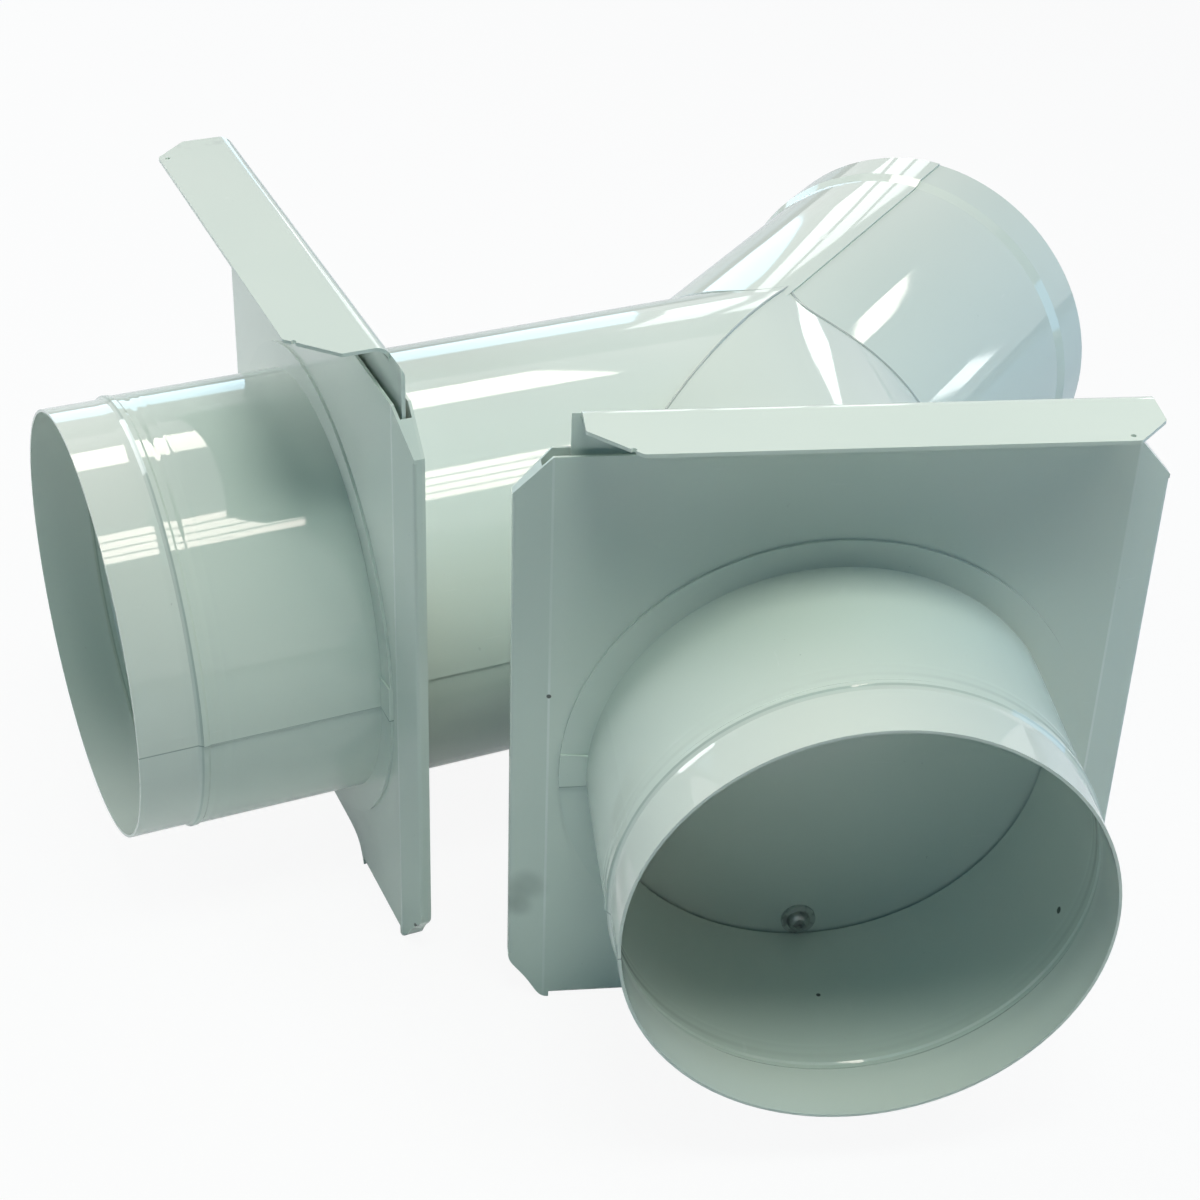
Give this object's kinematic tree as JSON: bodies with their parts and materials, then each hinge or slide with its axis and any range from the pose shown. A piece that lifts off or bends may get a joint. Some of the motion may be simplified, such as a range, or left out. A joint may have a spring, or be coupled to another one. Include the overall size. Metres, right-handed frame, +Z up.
{
  "type": "duct y branch with two slide gates",
  "caption": "Sheet-metal duct Y with a socket at the trunk, and a slide gate with a pull handle and a round spigot on each branch.",
  "frame": {"origin": "centre of the trunk's open end", "axes": "+Y out of the trunk along its axis, +Z up along the blades' travel, +X to the right gate's side"},
  "size_m": [0.555, 0.54, 0.3016],
  "materials": {
    "duct_paint": "glossy pale grey-green powder coat on sheet steel",
    "blade_paint": "glossy pale grey-green powder coat on sheet steel, rubbed where it slides",
    "screw_steel": "steel screw, washer and nut coated with the blade",
    "guide_plastic": "black extruded plastic, hidden between the panels"
  },
  "bodies": {
    "duct": {"trunk_pipe": "duct_paint", "left_branch_pipe": "duct_paint", "left_front_panel": "duct_paint", "left_back_panel": "duct_paint", "left_spigot": "duct_paint", "left_inner_guide": "guide_plastic", "left_outer_guide": "guide_plastic", "right_branch_pipe": "duct_paint", "right_front_panel": "duct_paint", "right_back_panel": "duct_paint", "right_spigot": "duct_paint", "right_inner_guide": "guide_plastic", "right_outer_guide": "guide_plastic"},
    "left_gate": {"left_blade": "blade_paint", "left_stop_screw": "screw_steel", "left_stop_washer": "screw_steel", "left_stop_nut": "screw_steel"},
    "right_gate": {"right_blade": "blade_paint", "right_stop_screw": "screw_steel", "right_stop_washer": "screw_steel", "right_stop_nut": "screw_steel"}
  },
  "joints": [
    {"name": "left_gate_slide", "type": "slide", "parent": "duct", "child": "left_gate", "axis": [0, 0, 1], "range_m": [0, 0.181]},
    {"name": "right_gate_slide", "type": "slide", "parent": "duct", "child": "right_gate", "axis": [0, 0, 1], "range_m": [0, 0.181]}
  ]
}
